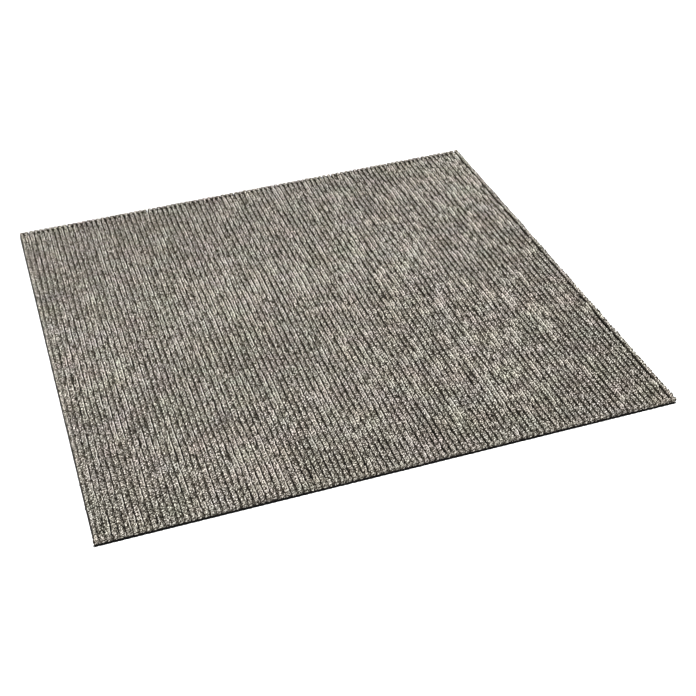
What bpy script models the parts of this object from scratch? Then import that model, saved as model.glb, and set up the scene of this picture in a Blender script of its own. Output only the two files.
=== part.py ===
"""A square carpet tile: straight rows of loop pile on a flat, dark backing.

Metres, +Z up. The origin is at the middle of the tile, on the level that it lies on.
The rows of pile run along Y. Each row is a rounded rib here, and its single loops of yarn
are too fine to be part of the solid.
"""

import math

import bmesh
import bpy

# The tile as it is cut
TILE_WIDTH = 0.500
TILE_LENGTH = 0.500

# The backing slab
BACKING_THICKNESS = 0.0028

# The pile, a ribbed mat just clear of the backing
SEAT_GAP = 0.0003
PILE_INSET = 0.0004
PILE_HEIGHT = 0.0034
GROOVE_DEPTH = 0.0020
ROW_PITCH = 0.0051
ROW_END_ROUNDING = 0.0022
ROW_END_DROP = 0.0011

# How finely the round shapes are cut into flats
CREST_SEGMENTS = 6
END_SEGMENTS = 2
SMOOTH_ANGLE = math.radians(50)

# What follows from the sizes
PILE_WIDTH = TILE_WIDTH - 2 * PILE_INSET
PILE_LENGTH = TILE_LENGTH - 2 * PILE_INSET
PILE_BOTTOM = BACKING_THICKNESS + SEAT_GAP
GROOVE_LEVEL = PILE_BOTTOM + PILE_HEIGHT - GROOVE_DEPTH
ROW_COUNT = round(PILE_WIDTH / ROW_PITCH)
ROW_WIDTH = PILE_WIDTH / ROW_COUNT


def clear_scene():
    """Start from an empty scene."""
    for thing in list(bpy.data.objects):
        bpy.data.objects.remove(thing, do_unlink=True)


def make_material(name, colour, roughness, metallic=0.0):
    """A plain Principled material."""
    material = bpy.data.materials.new(name)
    material.use_nodes = True
    shader = material.node_tree.nodes["Principled BSDF"]
    shader.inputs["Base Color"].default_value = (*colour, 1.0)
    shader.inputs["Roughness"].default_value = roughness
    shader.inputs["Metallic"].default_value = metallic
    return material


def add_object(name, bm, material):
    """Turn a bmesh into a named object with one material."""
    bmesh.ops.recalc_face_normals(bm, faces=bm.faces)
    mesh = bpy.data.meshes.new(name)
    bm.to_mesh(mesh)
    bm.free()
    mesh.shade_smooth()
    mesh.set_sharp_from_angle(angle=SMOOTH_ANGLE)
    mesh.materials.append(material)
    thing = bpy.data.objects.new(name, mesh)
    bpy.context.scene.collection.objects.link(thing)
    return thing


def make_backing():
    """The slab that the tile lies on, cut square and sharp."""
    bm = bmesh.new()
    bmesh.ops.create_cube(bm, size=1.0)
    bmesh.ops.scale(bm, vec=(TILE_WIDTH, TILE_LENGTH, BACKING_THICKNESS), verts=bm.verts)
    bmesh.ops.translate(bm, vec=(0, 0, BACKING_THICKNESS / 2), verts=bm.verts)
    material = make_material("backing", colour=(0.012, 0.012, 0.012), roughness=0.75)
    return add_object("backing", bm, material)


def pile_section():
    """Outline of the pile across its rows, as (x, z): along the crests, then back at the bottom."""
    left = -PILE_WIDTH / 2
    points = [(left, GROOVE_LEVEL)]
    for row in range(ROW_COUNT):
        middle = left + (row + 0.5) * ROW_WIDTH
        for step in range(1, CREST_SEGMENTS + 1):
            angle = math.pi * step / CREST_SEGMENTS
            x = middle - ROW_WIDTH / 2 * math.cos(angle)
            z = GROOVE_LEVEL + GROOVE_DEPTH * math.sin(angle)
            points.append((x, z))
    points.append((-left, PILE_BOTTOM))
    points.append((left, PILE_BOTTOM))
    return points


def row_end_steps():
    """Distances from a row's end at which its crest changes height, end first."""
    angles = [math.pi / 2 * step / END_SEGMENTS for step in range(END_SEGMENTS + 1)]
    return [ROW_END_ROUNDING * (1 - math.cos(angle)) for angle in angles]


def crest_share(y):
    """Height of a crest at y as a share of its full height over the groove."""
    from_end = max(0.0, PILE_LENGTH / 2 - abs(y))
    run = max(0.0, 1 - from_end / ROW_END_ROUNDING)
    drop = ROW_END_DROP * (1 - math.sqrt(max(0.0, 1 - run * run)))
    return 1 - drop / GROOVE_DEPTH


def make_loop_pile():
    """The ribbed mat of pile, one rib to a row, with each row rounded down at both ends."""
    bm = bmesh.new()
    front = -PILE_LENGTH / 2
    outline = [bm.verts.new((x, front, z)) for x, z in pile_section()]
    end_face = bm.faces.new(outline)

    near = row_end_steps()
    places = near + [PILE_LENGTH - distance for distance in reversed(near)]
    for start, stop in zip(places, places[1:]):
        result = bmesh.ops.extrude_face_region(bm, geom=[end_face, *end_face.edges])
        end_face = next(item for item in result["geom"] if isinstance(item, bmesh.types.BMFace))
        bmesh.ops.translate(bm, vec=(0, stop - start, 0), verts=end_face.verts)

    for vert in bm.verts:
        over_groove = vert.co.z - GROOVE_LEVEL
        if over_groove > 0:
            vert.co.z = GROOVE_LEVEL + over_groove * crest_share(vert.co.y)

    material = make_material("loop_pile", colour=(0.30, 0.27, 0.235), roughness=0.95)
    return add_object("loop_pile", bm, material)


clear_scene()
make_backing()
make_loop_pile()
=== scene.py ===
"""Looks of the carpet tile: rows of looped yarn on a black backing, in plain soft light.

Metres, +Z up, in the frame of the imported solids. Each row of pile is a line of separate loops of
yarn. The loops of a few neighbouring rows make one piece.
"""

import math

import bmesh
import bpy
import numpy as np
from mathutils import Matrix, Vector


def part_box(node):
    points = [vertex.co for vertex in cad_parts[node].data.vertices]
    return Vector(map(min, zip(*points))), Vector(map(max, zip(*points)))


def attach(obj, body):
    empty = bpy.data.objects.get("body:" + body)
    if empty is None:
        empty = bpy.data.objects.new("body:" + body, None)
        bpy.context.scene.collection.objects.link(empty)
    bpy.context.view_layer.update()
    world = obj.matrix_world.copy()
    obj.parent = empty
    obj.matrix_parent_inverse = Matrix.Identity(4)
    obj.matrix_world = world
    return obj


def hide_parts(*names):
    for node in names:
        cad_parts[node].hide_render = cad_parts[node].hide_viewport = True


MM = 0.001
SEED = 41

# Layout of the pile. The loops' feet reach under the solid pile by FOOT_DEPTH, no crest is set
# more than MOST_RISE over its top, and a few sunk loops lie lower by SUNK_DEPTH
ROW_PITCH = 5.1 * MM
STITCH = 2.5 * MM
ROWS_TO_A_BAND = 14
SIDE_OVERHANG = 0.4 * MM
FOOT_DEPTH = 0.35 * MM
MOST_RISE = 0.30 * MM
SUNK_DEPTH = 1.5 * MM

# The loops at the rim of the tile: fuller, steeper and more even
FRONT_OVERHANG = 0.5 * MM
BACK_OVERHANG = 1.8 * MM
LEFT_INSET = 0.4 * MM
RIGHT_BULGE = 0.2 * MM
RIM_CREST_DROP = 0.05 * MM
RIM_HALF_LENGTH = 1.7 * MM
RIM_WIDENING = 1.3
END_WIDENING = 1.9
RIM_CALM = 0.3

# Every loop is an arch of unit size that is scaled, turned and leant
BEND_RADIUS = 0.54
YARN_RADIUS = 0.46
MERGE_DISTANCE = 1e-5
END_FLATNESS = 1e-4
PLIES = 2
TWIST = 3.5
PLY_DEPTH = 0.25
PLY_MIDDLE = 0.75
PUFF_JITTER = 0.07
LEAN_JITTER = 0.03

# Both yarns: the loops lie in turn to the left and to the right of the row, by the zigzag. Those
# at the right are lower by twice the arch, darker by twice the tilt, which is painted shade across
# the row, and shorter, and a share of them is sunk. Those at the left have painted shade on their
# left-facing sides. Of two values, the first holds where the level of the pile is low, and the
# second where it is high.

# The body yarn: short loops in zigzag, which fill most of each row
BODY = {
    "sides": 5,
    "steps": 3,
    "stitches": 1,
    "rim_loops": 2,
    "offset": (-0.50 * MM, -0.50 * MM),
    "zigzag": 0.85 * MM,
    "arch": 0.10 * MM,
    "side_jitter": 0.07 * MM,
    "along_jitter": 0.50 * MM,
    "half_width": (1.25 * MM, 1.27 * MM),
    "overlap": (3.00, 3.50),
    "crest_drop": (0.60 * MM, 0.10 * MM),
    "crest_jitter": (0.07 * MM, 0.07 * MM),
    "turn": math.radians(3),
    "turn_jitter": math.radians(3),
    "tone": (0.33, 0.48),
    "tone_jitter": (0.025, 0.025),
    "rim_tone_and_shade": 0.36,
    # Painted shade on the left-facing side of each left-hand loop, and how much it varies
    "flank": 0.85,
    "painted_flank_shade_jitter": 0.10,
    # Painted shade across the row: the right-hand loops darker and the left-hand ones paler
    "tilt": 0.015,
    "sunk_share": 0.03,
    "shorten": 0.22,
}

# The pale yarn at the right of each row: where it is high, it makes long bright runs beside the
# body yarn, and where it is low, it fills the floor of the groove
PALE = {
    "sides": 4,
    "steps": 3,
    "stitches": 2,
    "rim_loops": 1,
    "offset": (1.95 * MM, 1.48 * MM),
    "zigzag": 0.08 * MM,
    "arch": 0.0,
    "side_jitter": 0.10 * MM,
    "along_jitter": 0.60 * MM,
    "half_width": (0.65 * MM, 0.50 * MM),
    "overlap": (1.20, 1.90),
    "crest_drop": (1.65 * MM, -0.20 * MM),
    "crest_jitter": (0.50 * MM, 0.12 * MM),
    "turn": 0.0,
    "turn_jitter": math.radians(3),
    "tone": (0.62, 1.18),
    "tone_jitter": (0.16, 0.06),
    # Painted shade: the pale loops of the rim rows and row ends are set dark, for the shaded right
    # side of the tile
    "rim_tone_and_shade": 0.15,
    "flank": 0.0,
    "painted_flank_shade_jitter": 0.0,
    "tilt": 0.0,
    "sunk_share": 0.0,
    "shorten": 0.0,
}

# How the level wanders: widths of the bell curves that blur it, in loops of pale yarn along a
# row and in rows across, how many widths of a curve count, then the share of each part and
# where low turns into high
SHORT_RUN = 0.7
LONG_RUN = 2.2
PATCH_RUN = 9.0
PATCH_ROWS = 8.0
BELL_REACH = 3
SHORT_SHARE = 0.7
LONG_SHARE = 0.5
PATCH_SHARE = 0.16
PALE_RISE = (0.10, 0.70)
BODY_RISE = (-0.5, 1.5)

# How the rows sway to the sides, together with their neighbours, and single loops wobble
ROW_SWAY = 0.15 * MM
SWAY_RUN = 1.4
SWAY_ROWS = 1.2
WOBBLE_RUN = 1.5

# Where high, pale loops gather or are rare, as (x, y, half width, half length, gain), in
# millimetres: the light patches first, then the darker stretches near the front and the right
PALE_PATCHES = [
    (-115, -212, 24, 34, 0.50),
    (-23, -148, 30, 28, 0.30),
    (120, -115, 38, 32, 0.25),
    (-39, 47, 55, 24, 0.25),
    (114, 67, 34, 26, 0.20),
    (200, -195, 65, 70, -0.45),
    (20, -230, 110, 26, -0.35),
    (228, 0, 36, 110, -0.35),
    (-210, -232, 40, 22, -0.30),
]

# Each loop has a cell of its own in the bake map: a strip for its side, a disc for each end
CELL_MARGIN = 0.03
STRIP_WIDTH = 0.94
STRIP_HEIGHT = 0.78
DISC_RADIUS = 0.07
DISC_HEIGHT = 0.91
FIRST_DISC = 0.2
DISC_SPACING = 0.6

# Map of the yarn: radius of the discs for the ends, and how far one loop is from the next
END_RADIUS = 0.02
LOOP_SHIFT = 1.37

# Yarn: the colour of each shade from dark to pale, and a slow change of tint over it
YARN_SHADES = [
    (0.00, (0.0150, 0.0115, 0.0065, 1.0)),
    (0.25, (0.0985, 0.0857, 0.0659, 1.0)),
    (0.50, (0.279, 0.2535, 0.213, 1.0)),
    (0.75, (0.544, 0.506, 0.444, 1.0)),
    (1.00, (0.806, 0.760, 0.685, 1.0)),
]
TINTS_TO_A_METRE = 40.0
TINT_SPREAD = 0.16
TINT_LOWEST = 0.92

# Yarn: flecks of the melange, fibres along the plies, and painted shade in the creases between the
# plies
FLECKS_TO_A_METRE = 1450.0
FLECK_SQUEEZE = (1.0, 0.5, 1.0)
FLECK_EDGE = (0.38, 0.62)
FLECK_CONTRAST = 1.20
FIBRE_SQUEEZE = (6.0, 4.0, 1.0)
FIBRE_CONTRAST = 0.70
PAINTED_CREASE_EDGE = (-0.08, 0.72)
# Painted shade on the left-facing sides: the leftness where it starts and where it is full
PAINTED_FLANK_LEFTNESS = (0.25, 0.78)

# Yarn: painted shade in the depth of the pile, darker towards the roots, which the bare left and
# front sides do without
PAINTED_ROOT_SHADE = 0.66
PAINTED_ROOT_HEIGHTS = (4.2 * MM, 5.6 * MM)
BARE_FROM_EDGE = (2.0 * MM, 0.5 * MM)

# Yarn: relief and shine
PLY_RELIEF = 0.8
FIBRE_RELIEF = 0.45
YARN_RELIEF_DEPTH = 0.45 * MM
YARN_ROUGHNESS = 0.9
YARN_ROUGHNESS_SPREAD = 0.15
YARN_SHEEN = 0.04
YARN_SHEEN_ROUGHNESS = 0.5
YARN_SHINE = 0.10

# Backing: black compound in slow clouds, with a fine grain and paler specks of filler
BACKING_GRAINS_TO_A_METRE = 900.0
BACKING_CLOUDS_TO_A_METRE = 22.0
BACKING_DARK = (0.004, 0.004, 0.004, 1.0)
BACKING_LIGHT = (0.010, 0.010, 0.009, 1.0)
SPECK_COLOUR = (0.05, 0.048, 0.045, 1.0)
SPECK_EDGE = (0.66, 0.74)
SPECK_COVER = 0.5
BACKING_RELIEF_DEPTH = 0.15 * MM
BACKING_RELIEF_STRENGTH = 0.6
BACKING_ROUGHNESS = 0.72
BACKING_ROUGHNESS_SPREAD = 0.20
BACKING_SHINE = 0.03

# Floor and light
FLOOR_HALF_WIDTH = 6.0
FLOOR_DROP = 0.2 * MM
FLOOR_COLOUR = (0.93, 0.93, 0.93, 1.0)
FLOOR_ROUGHNESS = 0.9
DAYLIGHT_COLOUR = (1.0, 1.0, 1.0, 1.0)
DAYLIGHT_STRENGTH = 0.25
LAMP_WIDTH = 0.3
LAMP_WATTS = 97.0
LAMP_PLACE = Vector((0.05, -0.35, 2.3))

# Camera of the photograph, in the tile's frame
CAMERA_PLACE = Vector((-0.265, -1.025, 0.705))
CAMERA_TILT = math.radians(54.69)
CAMERA_TURN = math.radians(-16.26)
CAMERA_ROLL = math.radians(-2.99)
CAMERA_LENS = 68.41
SENSOR_WIDTH = 36.0
NEAREST_SEEN = 0.01

rng = np.random.default_rng(SEED)


class Term:
    """A socket that can stand in a sum, so that 1 - mask and 2 * noise add their Math nodes."""

    def __init__(self, graph, socket):
        self.graph = graph
        self.socket = socket

    def math(self, operation, first, second):
        return self.graph.node("ShaderNodeMath", {"operation": operation}, {0: first, 1: second})

    def __add__(self, other):
        return self.math("ADD", self, other)

    def __radd__(self, other):
        return self.math("ADD", other, self)

    def __sub__(self, other):
        return self.math("SUBTRACT", self, other)

    def __rsub__(self, other):
        return self.math("SUBTRACT", other, self)

    def __mul__(self, other):
        return self.math("MULTIPLY", self, other)

    def __rmul__(self, other):
        return self.math("MULTIPLY", other, self)


class Graph:
    """The node tree of one material."""

    def __init__(self, name):
        self.material = bpy.data.materials.new(name)
        self.material.use_nodes = True
        self.tree = self.material.node_tree
        self.shader = self.tree.nodes["Principled BSDF"]

    def node(self, kind, settings=None, values=None, output=0):
        """A node of any kind, its settings first and then its sockets; gives one output."""
        node = self.tree.nodes.new(kind)
        for name, setting in (settings or {}).items():
            if name == "stops":
                self.set_stops(node.color_ramp, setting)
            else:
                setattr(node, name, setting)
        for name, value in (values or {}).items():
            self.feed(node.inputs[name], value)
        return Term(self, node.outputs[output])

    def feed(self, socket, value):
        """Link a socket to a term, or give it a plain value."""
        if isinstance(value, Term):
            self.tree.links.new(value.socket, socket)
        else:
            socket.default_value = value

    def set_stops(self, ramp, stops):
        """Give a ramp its stops, each a place and a colour."""
        while len(ramp.elements) < len(stops):
            ramp.elements.new(1.0)
        for element, (place, colour) in zip(ramp.elements, stops):
            element.position = place
            element.color = colour

    def attribute(self, name):
        """A number that the mesh carries at its points."""
        return self.node("ShaderNodeAttribute", {"attribute_name": name}, output="Fac")

    def part(self, vector, axis):
        """One part of a vector: X, Y or Z."""
        return self.node("ShaderNodeSeparateXYZ", values={0: vector}, output=axis)

    def squeezed(self, vector, scale):
        """A vector with each of its parts scaled."""
        return self.node("ShaderNodeMapping", {}, {"Vector": vector, "Scale": scale})

    def noise(self, vector, scale, detail, roughness, output=0):
        """Noise with the given number of features to a unit of length."""
        values = {"Vector": vector, "Scale": scale, "Detail": detail, "Roughness": roughness}
        return self.node("ShaderNodeTexNoise", {}, values, output)

    def mix(self, factor, first, second, blend="MIX"):
        """Two colours mixed by a factor."""
        settings = {"data_type": "RGBA", "blend_type": blend}
        return self.node("ShaderNodeMix", settings, {0: factor, 6: first, 7: second}, output=2)

    def smooth(self, value, low, high):
        """0 below low, 1 above high and a smooth rise between them."""
        settings = {"interpolation_type": "SMOOTHSTEP"}
        values = {"Value": value, "From Min": low, "From Max": high}
        return self.node("ShaderNodeMapRange", settings, values)

    def bump(self, height, strength, distance):
        """A normal that follows a height."""
        values = {"Strength": strength, "Distance": distance, "Height": height}
        return self.node("ShaderNodeBump", {}, values)

    def surface(self, **sockets):
        """Feed the shader's sockets, named in words joined by underscores."""
        for name, value in sockets.items():
            self.feed(self.shader.inputs[name.replace("_", " ")], value)


def painted_root_shade(graph, place):
    """Painted shade: 1 on the crests and the bare sides, less in the depth of the pile."""
    to_left = 0.0 - graph.part(place, "X")
    to_front = 0.0 - graph.part(place, "Y")
    to_rim = graph.node("ShaderNodeMath", {"operation": "MAXIMUM"}, {0: to_left, 1: to_front})
    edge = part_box("backing")[1].x
    bare = graph.smooth(to_rim, edge - BARE_FROM_EDGE[0], edge - BARE_FROM_EDGE[1])
    # Painted shade: darker towards the roots, except near the bare left and front sides
    high = graph.smooth(graph.part(place, "Z"), *PAINTED_ROOT_HEIGHTS)
    return 1.0 - (1.0 - high) * (1.0 - bare) * PAINTED_ROOT_SHADE


def ply_and_fibre(graph):
    """Roundness of the twisted plies and noise of the fibres, which both follow the yarn."""
    along_yarn = graph.node("ShaderNodeUVMap", {"uv_map": "yarn"})
    phase = graph.part(along_yarn, "Y")
    wave = graph.node("ShaderNodeMath", {"operation": "SINE"}, {0: phase * math.pi})
    ply = graph.node("ShaderNodeMath", {"operation": "ABSOLUTE"}, {0: wave})
    strands = graph.squeezed(along_yarn, FIBRE_SQUEEZE)
    return ply, graph.noise(strands, scale=1.0, detail=3.0, roughness=0.6)


def yarn_shade(graph, place, ply, fibre):
    """Shade of the yarn, from 0, the darkest, to 1, the palest, with painted shade in the depth,
    in the creases and on the left-facing sides.
    """
    grain = graph.squeezed(place, FLECK_SQUEEZE)
    melange = graph.noise(grain, FLECKS_TO_A_METRE, detail=1.0, roughness=0.5)
    fleck = graph.smooth(melange, *FLECK_EDGE)
    # Painted shade on the left-facing sides of the left-hand loops
    painted_flank_mask = graph.smooth(graph.attribute("leftness"), *PAINTED_FLANK_LEFTNESS)
    tone = graph.attribute("tone") - graph.attribute("flank") * painted_flank_mask
    shade = tone + (fleck - 0.5) * FLECK_CONTRAST + (fibre - 0.5) * FIBRE_CONTRAST
    # Painted shade in the depth of the pile and in the creases between the plies
    return shade * painted_root_shade(graph, place) * graph.smooth(ply, *PAINTED_CREASE_EDGE)


def yarn_material():
    """Matt melange yarn of two twisted plies, with a tone for each loop and painted shade at the
    roots, in the creases and on the left-facing sides.
    """
    graph = Graph("melange_yarn")
    place = graph.node("ShaderNodeTexCoord", output="Object")
    ply, fibre = ply_and_fibre(graph)

    shade = yarn_shade(graph, place, ply, fibre)
    colour = graph.node("ShaderNodeValToRGB", {"stops": YARN_SHADES}, {"Fac": shade})
    tint = graph.noise(place, TINTS_TO_A_METRE, detail=2.0, roughness=0.5, output="Color")
    stretch = {0: tint, 1: (TINT_SPREAD,) * 3, 2: (TINT_LOWEST,) * 3}
    tint = graph.node("ShaderNodeVectorMath", {"operation": "MULTIPLY_ADD"}, stretch)
    colour = graph.mix(1.0, colour, tint, "MULTIPLY")

    relief = ply * PLY_RELIEF + fibre * FIBRE_RELIEF
    normal = graph.bump(relief, strength=1.0, distance=YARN_RELIEF_DEPTH)
    roughness = YARN_ROUGHNESS + (fibre - 0.5) * YARN_ROUGHNESS_SPREAD
    graph.surface(Base_Color=colour, Roughness=roughness, Normal=normal)
    graph.surface(Sheen_Weight=YARN_SHEEN, Sheen_Roughness=YARN_SHEEN_ROUGHNESS)
    graph.surface(Specular_IOR_Level=YARN_SHINE)
    return graph.material


def backing_material():
    """Matt black backing with a fine grain and a few paler specks of chalk filler."""
    graph = Graph("black_backing")
    place = graph.node("ShaderNodeTexCoord", output="Object")
    grain = graph.noise(place, BACKING_GRAINS_TO_A_METRE, detail=4.0, roughness=0.65)
    cloud = graph.noise(place, BACKING_CLOUDS_TO_A_METRE, detail=3.0, roughness=0.5)
    speck = graph.smooth(grain, *SPECK_EDGE)
    colour = graph.mix(cloud, BACKING_DARK, BACKING_LIGHT)
    colour = graph.mix(speck * SPECK_COVER, colour, SPECK_COLOUR)
    normal = graph.bump(grain, BACKING_RELIEF_STRENGTH, BACKING_RELIEF_DEPTH)
    roughness = BACKING_ROUGHNESS + cloud * BACKING_ROUGHNESS_SPREAD
    graph.surface(Base_Color=colour, Roughness=roughness, Normal=normal)
    graph.surface(Specular_IOR_Level=BACKING_SHINE)
    return graph.material


def unit_loop(sides, steps):
    """One loop of yarn, before its size is set: a ring of yarn spun half a turn, closed."""
    bm = bmesh.new()
    start = Matrix.Translation((0, -BEND_RADIUS, 0))
    bmesh.ops.create_circle(bm, cap_ends=True, radius=YARN_RADIUS, segments=sides, matrix=start)
    bmesh.ops.spin(
        bm,
        geom=[*bm.verts, *bm.edges, *bm.faces],
        axis=(-1, 0, 0),
        cent=(0, 0, 0),
        dvec=(0, 0, 0),
        angle=math.pi,
        steps=steps,
        use_merge=False,
        use_duplicate=False,
    )
    bmesh.ops.remove_doubles(bm, verts=bm.verts, dist=MERGE_DISTANCE)
    bmesh.ops.recalc_face_normals(bm, faces=bm.faces)
    bm.verts.index_update()
    return bm


def loop_maps(faces, ring, around):
    """Both maps of a unit loop, with a place for each corner of each face."""
    yarn_map, bake_map = [], []
    disc = FIRST_DISC
    for corners in faces:
        v = around[corners]
        is_end = np.ptp(ring[corners]) < END_FLATNESS
        if is_end:
            angle = 2 * math.pi * v
            yarn_map.extend(zip(END_RADIUS * np.cos(angle), v))
            bake_u = disc + DISC_RADIUS * np.cos(angle)
            bake_map.extend(zip(bake_u, DISC_HEIGHT + DISC_RADIUS * np.sin(angle)))
            disc += DISC_SPACING
        else:
            # The corners of a face over the seam stay side by side
            if np.ptp(v) > 0.5:
                v = np.where(v < 0.5, v + 1.0, v)
            yarn_map.extend(zip(ring[corners], v))
            bake_u = CELL_MARGIN + STRIP_WIDTH * ring[corners]
            bake_map.extend(zip(bake_u, CELL_MARGIN + STRIP_HEIGHT * v))
    return np.array(yarn_map), np.array(bake_map)


def loop_arrays(sides, steps):
    """A unit loop as arrays, one unit to each side and one high, with its faces and its maps."""
    bm = unit_loop(sides, steps)
    points = np.array([vert.co for vert in bm.verts])
    # The spin adds its faces in another order at each run, so they are sorted
    faces = sorted([vert.index for vert in face.verts] for face in bm.faces)
    bm.free()
    full_size = np.abs(points).max(axis=0)
    ring = np.arctan2(points[:, 2], -points[:, 1]) / math.pi
    from_bend = np.hypot(points[:, 1], points[:, 2]) - BEND_RADIUS
    around = np.arctan2(from_bend, points[:, 0]) / (2 * math.pi) % 1.0
    middle = BEND_RADIUS * np.stack(
        [0 * ring, -np.cos(ring * math.pi), np.sin(ring * math.pi)], axis=-1
    )
    radial = points - middle
    yarn_map, bake_map = loop_maps(faces, ring, around)
    return {
        "middle": middle / full_size,
        "radial": radial / full_size,
        "leftness": -radial[:, 0] / np.linalg.norm(radial, axis=1),
        "phase": PLIES * around + TWIST * ring,
        "sizes": np.array([len(corners) for corners in faces]),
        "corners": np.concatenate(faces),
        "yarn_map": yarn_map,
        "bake_map": bake_map,
    }


def smooth_along(field, axis, sigma):
    """A field blurred along one axis by a bell curve of the given width in cells."""
    reach = int(BELL_REACH * sigma) + 1
    weights = np.exp(-0.5 * (np.arange(-reach, reach + 1) / sigma) ** 2)
    weights /= np.linalg.norm(weights)
    pad = [(0, 0), (0, 0)]
    pad[axis] = (reach, reach)
    wide = np.pad(field, pad, mode="reflect")
    return np.apply_along_axis(lambda line: np.convolve(line, weights, "valid"), axis, wide)


def smoothstep(value, low, high):
    """0 below low, 1 above high, with a smooth rise."""
    share = np.clip((value - low) / (high - low), 0, 1)
    return share * share * (3 - 2 * share)


def between(pair, share):
    """The value at a share of the way from the first of a pair to the second."""
    return pair[0] + (pair[1] - pair[0]) * share


def patch_gain(x, y):
    """How much the patches, even inside and soft at the edge, raise or lower the level."""
    gain = np.zeros(x.shape)
    for px, py, half_width, half_length, strength in PALE_PATCHES:
        across = (x - px * MM) / (half_width * MM)
        along = (y - py * MM) / (half_length * MM)
        gain += strength * np.exp(-(across**4) - along**4)
    return gain


def place_grid(stitches):
    """Middles of the loops of every row, with the given number of short stitches to a loop."""
    low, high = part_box("backing")
    width, length = high.x - low.x + 2 * SIDE_OVERHANG, high.y - low.y
    rows = round(width / ROW_PITCH)
    count = round(length / STITCH / stitches)
    x = low.x - SIDE_OVERHANG + (np.arange(rows) + 0.5) * width / rows
    y = low.y + (np.arange(count) + 0.5) * length / count
    return np.meshgrid(x, y, indexing="ij")


def crest_drops(kind, level, rim, calm, side):
    """How far each loop's crest lies under the top of the pile."""
    drop = between(kind["crest_drop"], level) + kind["arch"] * (1 + side)
    sunk = (side > 0) & (rng.uniform(0, 1, level.shape) < kind["sunk_share"])
    drop += SUNK_DEPTH * sunk
    drop = np.where(rim, RIM_CREST_DROP, drop)
    jitter = between(kind["crest_jitter"], level) * rng.standard_normal(level.shape)
    return np.maximum(drop + calm * jitter, -MOST_RISE)


def loop_tones(kind, level, rim, side):
    """The tone of each loop, with painted shade across the row, and how much painted shade darkens
    its left-facing side.
    """
    tone = np.where(rim, kind["rim_tone_and_shade"], between(kind["tone"], level))
    # Painted shade across the row: loops at the right darker, those at the left paler
    tone = tone - kind["tilt"] * side
    bulge = rng.standard_normal(level.shape)
    tone = tone + between(kind["tone_jitter"], level) * bulge
    flank = np.maximum(0, kind["flank"] + kind["painted_flank_shade_jitter"] * bulge)
    return tone, np.where(side < 0, flank, 0.0)


def loop_sizes(kind, level, rim, side, pitch):
    """Half the width and half the length of each loop."""
    widen = np.where(rim, RIM_WIDENING, 1.0)
    widen[:, [0, -1]] = END_WIDENING
    half_length = pitch / 2 * between(kind["overlap"], level)
    half_length = half_length * np.where(side > 0, 1 - kind["shorten"], 1)
    half_length[:, [0, -1]] = RIM_HALF_LENGTH
    return between(kind["half_width"], level) * widen, half_length


def yarn_loops(kind, level, sway):
    """Place, size and tone of every loop of one yarn, as arrays with a line for each row."""
    low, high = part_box("loop_pile")
    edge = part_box("backing")[1].y
    x, y = place_grid(kind["stitches"])
    shape = x.shape
    rim = np.ones(shape, bool)
    rim[1:-1, kind["rim_loops"] : -kind["rim_loops"]] = False
    calm = np.where(rim, RIM_CALM, 1.0)
    side = np.where(np.arange(shape[1]) % 2, 1.0, -1.0) * calm
    wobble = smooth_along(rng.standard_normal(shape), 1, WOBBLE_RUN) + rng.standard_normal(shape)
    drop = crest_drops(kind, level, rim, calm, side)
    tone, flank = loop_tones(kind, level, rim, side)
    half_width, half_length = loop_sizes(kind, level, rim, side, pitch=y[0, 1] - y[0, 0])

    across = x + between(kind["offset"], level) + kind["zigzag"] * side
    across += kind["side_jitter"] * wobble + calm * sway
    across[0] += LEFT_INSET
    across[-1] += RIGHT_BULGE
    along = y + kind["along_jitter"] * rng.uniform(-1, 1, shape)
    along[:, 0] = -edge
    along[:, -1] = edge + BACK_OVERHANG
    first, last = half_length - edge - FRONT_OVERHANG, edge + BACK_OVERHANG - half_length
    return {
        "x": across,
        "y": np.clip(along, first, last),
        "foot": np.full(shape, low.z - FOOT_DEPTH),
        "crest": high.z - drop,
        "half_width": half_width,
        "half_length": half_length,
        "turn": kind["turn"] * side + calm * kind["turn_jitter"] * rng.standard_normal(shape),
        "lean_x": calm * LEAN_JITTER * rng.standard_normal(shape),
        "lean_y": calm * LEAN_JITTER * rng.standard_normal(shape),
        "phase": rng.uniform(0, 1, shape),
        "tone": tone,
        "flank": flank,
    }


def pile_yarns():
    """Both yarns of the pile, each with its unit loop and its loops."""
    x, y = place_grid(PALE["stitches"])
    short = smooth_along(rng.standard_normal(x.shape), 1, SHORT_RUN)
    long = smooth_along(rng.standard_normal(x.shape), 1, LONG_RUN)
    patch = smooth_along(smooth_along(rng.standard_normal(x.shape), 1, PATCH_RUN), 0, PATCH_ROWS)
    slow = PATCH_SHARE * patch + patch_gain(x, y)
    pale_level = smoothstep(SHORT_SHARE * short + LONG_SHARE * long + slow, *PALE_RISE)
    body_level = np.repeat(smoothstep(slow, *BODY_RISE), PALE["stitches"], axis=1)
    sway = smooth_along(smooth_along(rng.standard_normal(x.shape), 1, SWAY_RUN), 0, SWAY_ROWS)
    pale_sway = ROW_SWAY * sway
    body_sway = np.repeat(pale_sway, PALE["stitches"], axis=1)

    body_unit = loop_arrays(BODY["sides"], BODY["steps"])
    body = (body_unit, yarn_loops(BODY, body_level, body_sway))
    pale_unit = loop_arrays(PALE["sides"], PALE["steps"])
    pale = (pale_unit, yarn_loops(PALE, pale_level, pale_sway))
    return body, pale


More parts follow.
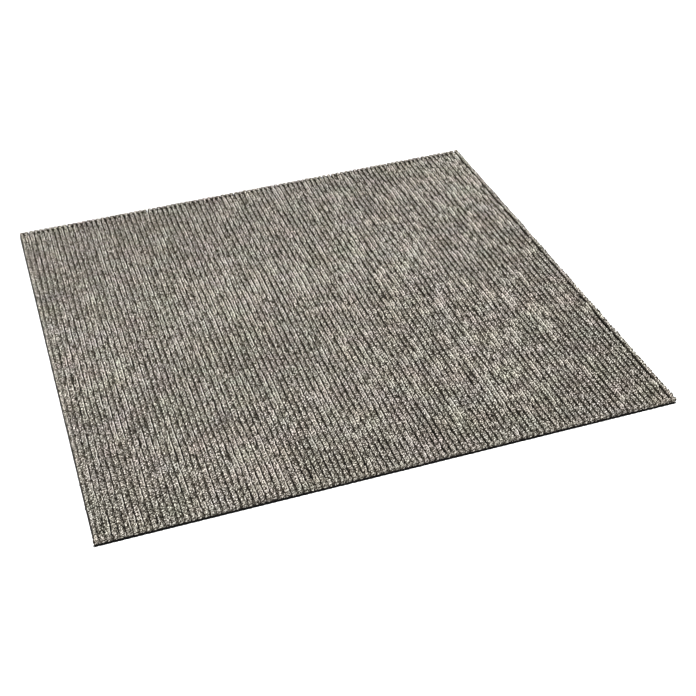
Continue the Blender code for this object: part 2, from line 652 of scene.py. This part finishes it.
def loop_points(unit, flat):
    """Places of all points of the loops, each loop a scaled, turned and leaning unit loop."""
    ply = np.abs(np.sin(math.pi * (unit["phase"][None, :] + flat["phase"][:, None])))
    swell = 1 + PLY_DEPTH * (ply - PLY_MIDDLE) + PUFF_JITTER * rng.standard_normal(ply.shape)
    points = unit["middle"][None] + unit["radial"][None] * swell[:, :, None]
    across = points[:, :, 0] * flat["half_width"][:, None]
    along = points[:, :, 1] * flat["half_length"][:, None]
    lift = points[:, :, 2] * (flat["crest"] - flat["foot"])[:, None]
    cos, sin = np.cos(flat["turn"])[:, None], np.sin(flat["turn"])[:, None]
    x = flat["x"][:, None] + across * cos - along * sin + flat["lean_x"][:, None] * lift
    y = flat["y"][:, None] + across * sin + along * cos + flat["lean_y"][:, None] * lift
    return np.stack([x, y, flat["foot"][:, None] + lift], axis=-1).reshape(-1, 3)


def corner_maps(unit, flat, number, columns, lines):
    """Places of all corners of the loops in the bake map, a cell to a loop, and along the yarn."""
    bake_u = (number % columns + unit["bake_map"][None, :, 0]) / columns
    bake_v = (number // columns + unit["bake_map"][None, :, 1]) / lines
    along_yarn, around_yarn = unit["yarn_map"][None, :, 0], unit["yarn_map"][None, :, 1]
    yarn_u = along_yarn + LOOP_SHIFT * number
    yarn_v = PLIES * around_yarn + TWIST * along_yarn + flat["phase"][:, None]
    bake = np.stack([bake_u, bake_v], axis=-1).reshape(-1, 2)
    yarn = np.stack([yarn_u, yarn_v], axis=-1).reshape(-1, 2)
    return bake, yarn


def band_arrays(yarns):
    """Points, faces, maps and numbers of the loops of a few rows, joined."""
    total = sum(loops["x"].size for unit, loops in yarns)
    columns = math.ceil(math.sqrt(total))
    lines = math.ceil(total / columns)
    parts = []
    first_point, first_loop = 0, 0
    for unit, loops in yarns:
        flat = {key: value.ravel() for key, value in loops.items()}
        count, size = flat["x"].size, len(unit["phase"])
        starts = first_point + np.arange(count)[:, None] * size
        number = first_loop + np.arange(count)[:, None]
        bake, yarn = corner_maps(unit, flat, number, columns, lines)
        part = {
            "points": loop_points(unit, flat),
            "corners": (unit["corners"][None, :] + starts).ravel(),
            "sizes": np.tile(unit["sizes"], count),
            "OFBake": bake,
            "yarn": yarn,
            "tone": np.repeat(flat["tone"], size),
            "flank": np.repeat(flat["flank"], size),
            "leftness": np.tile(unit["leftness"], count),
        }
        parts.append(part)
        first_point += count * size
        first_loop += count
    return {key: np.concatenate([part[key] for part in parts]) for key in parts[0]}


def band_mesh(name, yarns):
    """The loops of a few rows in one mesh."""
    arrays = band_arrays(yarns)
    sizes = arrays["sizes"]
    mesh = bpy.data.meshes.new(name)
    mesh.vertices.add(len(arrays["points"]))
    mesh.vertices.foreach_set("co", arrays["points"].ravel())
    mesh.loops.add(len(arrays["corners"]))
    mesh.loops.foreach_set("vertex_index", arrays["corners"])
    mesh.polygons.add(len(sizes))
    mesh.polygons.foreach_set("loop_start", np.concatenate([[0], np.cumsum(sizes)[:-1]]))
    mesh.polygons.foreach_set("loop_total", sizes)
    mesh.update(calc_edges=True)
    for map_name in ("OFBake", "yarn"):
        layer = mesh.uv_layers.new(name=map_name)
        layer.uv.foreach_set("vector", arrays[map_name].astype(np.float32).ravel())
    for layer_name in ("tone", "flank", "leftness"):
        layer = mesh.attributes.new(layer_name, "FLOAT", "POINT")
        layer.data.foreach_set("value", arrays[layer_name].astype(np.float32))
    mesh.shade_smooth()
    return mesh


def make_pile(material):
    """All rows of pile, in bands of a few rows."""
    yarns = pile_yarns()
    rows = yarns[0][1]["x"].shape[0]
    for band, first in enumerate(range(0, rows, ROWS_TO_A_BAND)):
        part = []
        for unit, loops in yarns:
            share = {key: value[first : first + ROWS_TO_A_BAND] for key, value in loops.items()}
            part.append((unit, share))
        name = f"pile_rows_{band + 1}"
        thing = bpy.data.objects.new(name, band_mesh(name, part))
        bpy.context.scene.collection.objects.link(thing)
        thing.data.materials.append(material)
        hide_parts("loop_pile")
        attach(thing, "root")


def make_floor():
    """A plain pale floor, just under the tile."""
    bm = bmesh.new()
    bmesh.ops.create_grid(bm, x_segments=1, y_segments=1, size=FLOOR_HALF_WIDTH)
    bmesh.ops.translate(bm, vec=(0, 0, -FLOOR_DROP), verts=bm.verts)
    mesh = bpy.data.meshes.new("floor")
    bm.to_mesh(mesh)
    bm.free()
    floor = bpy.data.objects.new("floor", mesh)
    bpy.context.scene.collection.objects.link(floor)
    graph = Graph("pale_floor")
    graph.surface(Base_Color=FLOOR_COLOUR, Roughness=FLOOR_ROUGHNESS)
    mesh.materials.append(graph.material)


def make_light():
    """Soft daylight all round and a square lamp high over the front of the tile."""
    world = bpy.data.worlds.new("studio")
    world.use_nodes = True
    background = world.node_tree.nodes["Background"]
    background.inputs["Color"].default_value = DAYLIGHT_COLOUR
    background.inputs["Strength"].default_value = DAYLIGHT_STRENGTH
    bpy.context.scene.world = world
    lamp = bpy.data.lights.new("soft_lamp", "AREA")
    lamp.shape = "SQUARE"
    lamp.size = LAMP_WIDTH
    lamp.energy = LAMP_WATTS
    thing = bpy.data.objects.new("soft_lamp", lamp)
    thing.location = LAMP_PLACE
    thing.rotation_euler = (-LAMP_PLACE).to_track_quat("-Z", "Y").to_euler()
    bpy.context.scene.collection.objects.link(thing)


def make_camera():
    """The photograph's camera."""
    camera = bpy.data.cameras.new("camera")
    camera.lens = CAMERA_LENS
    camera.sensor_width = SENSOR_WIDTH
    camera.clip_start = NEAREST_SEEN
    thing = bpy.data.objects.new("camera", camera)
    turn = Matrix.Rotation(CAMERA_TURN, 4, "Z")
    tilt = Matrix.Rotation(CAMERA_TILT, 4, "X")
    roll = Matrix.Rotation(CAMERA_ROLL, 4, "Z")
    thing.matrix_world = Matrix.Translation(CAMERA_PLACE) @ turn @ tilt @ roll
    bpy.context.scene.collection.objects.link(thing)
    bpy.context.scene.camera = thing


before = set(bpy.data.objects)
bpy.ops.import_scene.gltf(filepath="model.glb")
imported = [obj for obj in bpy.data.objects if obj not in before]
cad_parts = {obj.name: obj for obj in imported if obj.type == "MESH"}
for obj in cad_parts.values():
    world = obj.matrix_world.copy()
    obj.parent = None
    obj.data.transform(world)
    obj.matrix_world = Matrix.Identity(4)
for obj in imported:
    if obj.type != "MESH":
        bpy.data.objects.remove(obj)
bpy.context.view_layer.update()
bpy.context.scene.view_settings.view_transform = "Standard"
make_camera()
make_floor()
make_light()
make_pile(yarn_material())
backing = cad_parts["backing"]
backing.data.materials.clear()
backing.data.materials.append(backing_material())
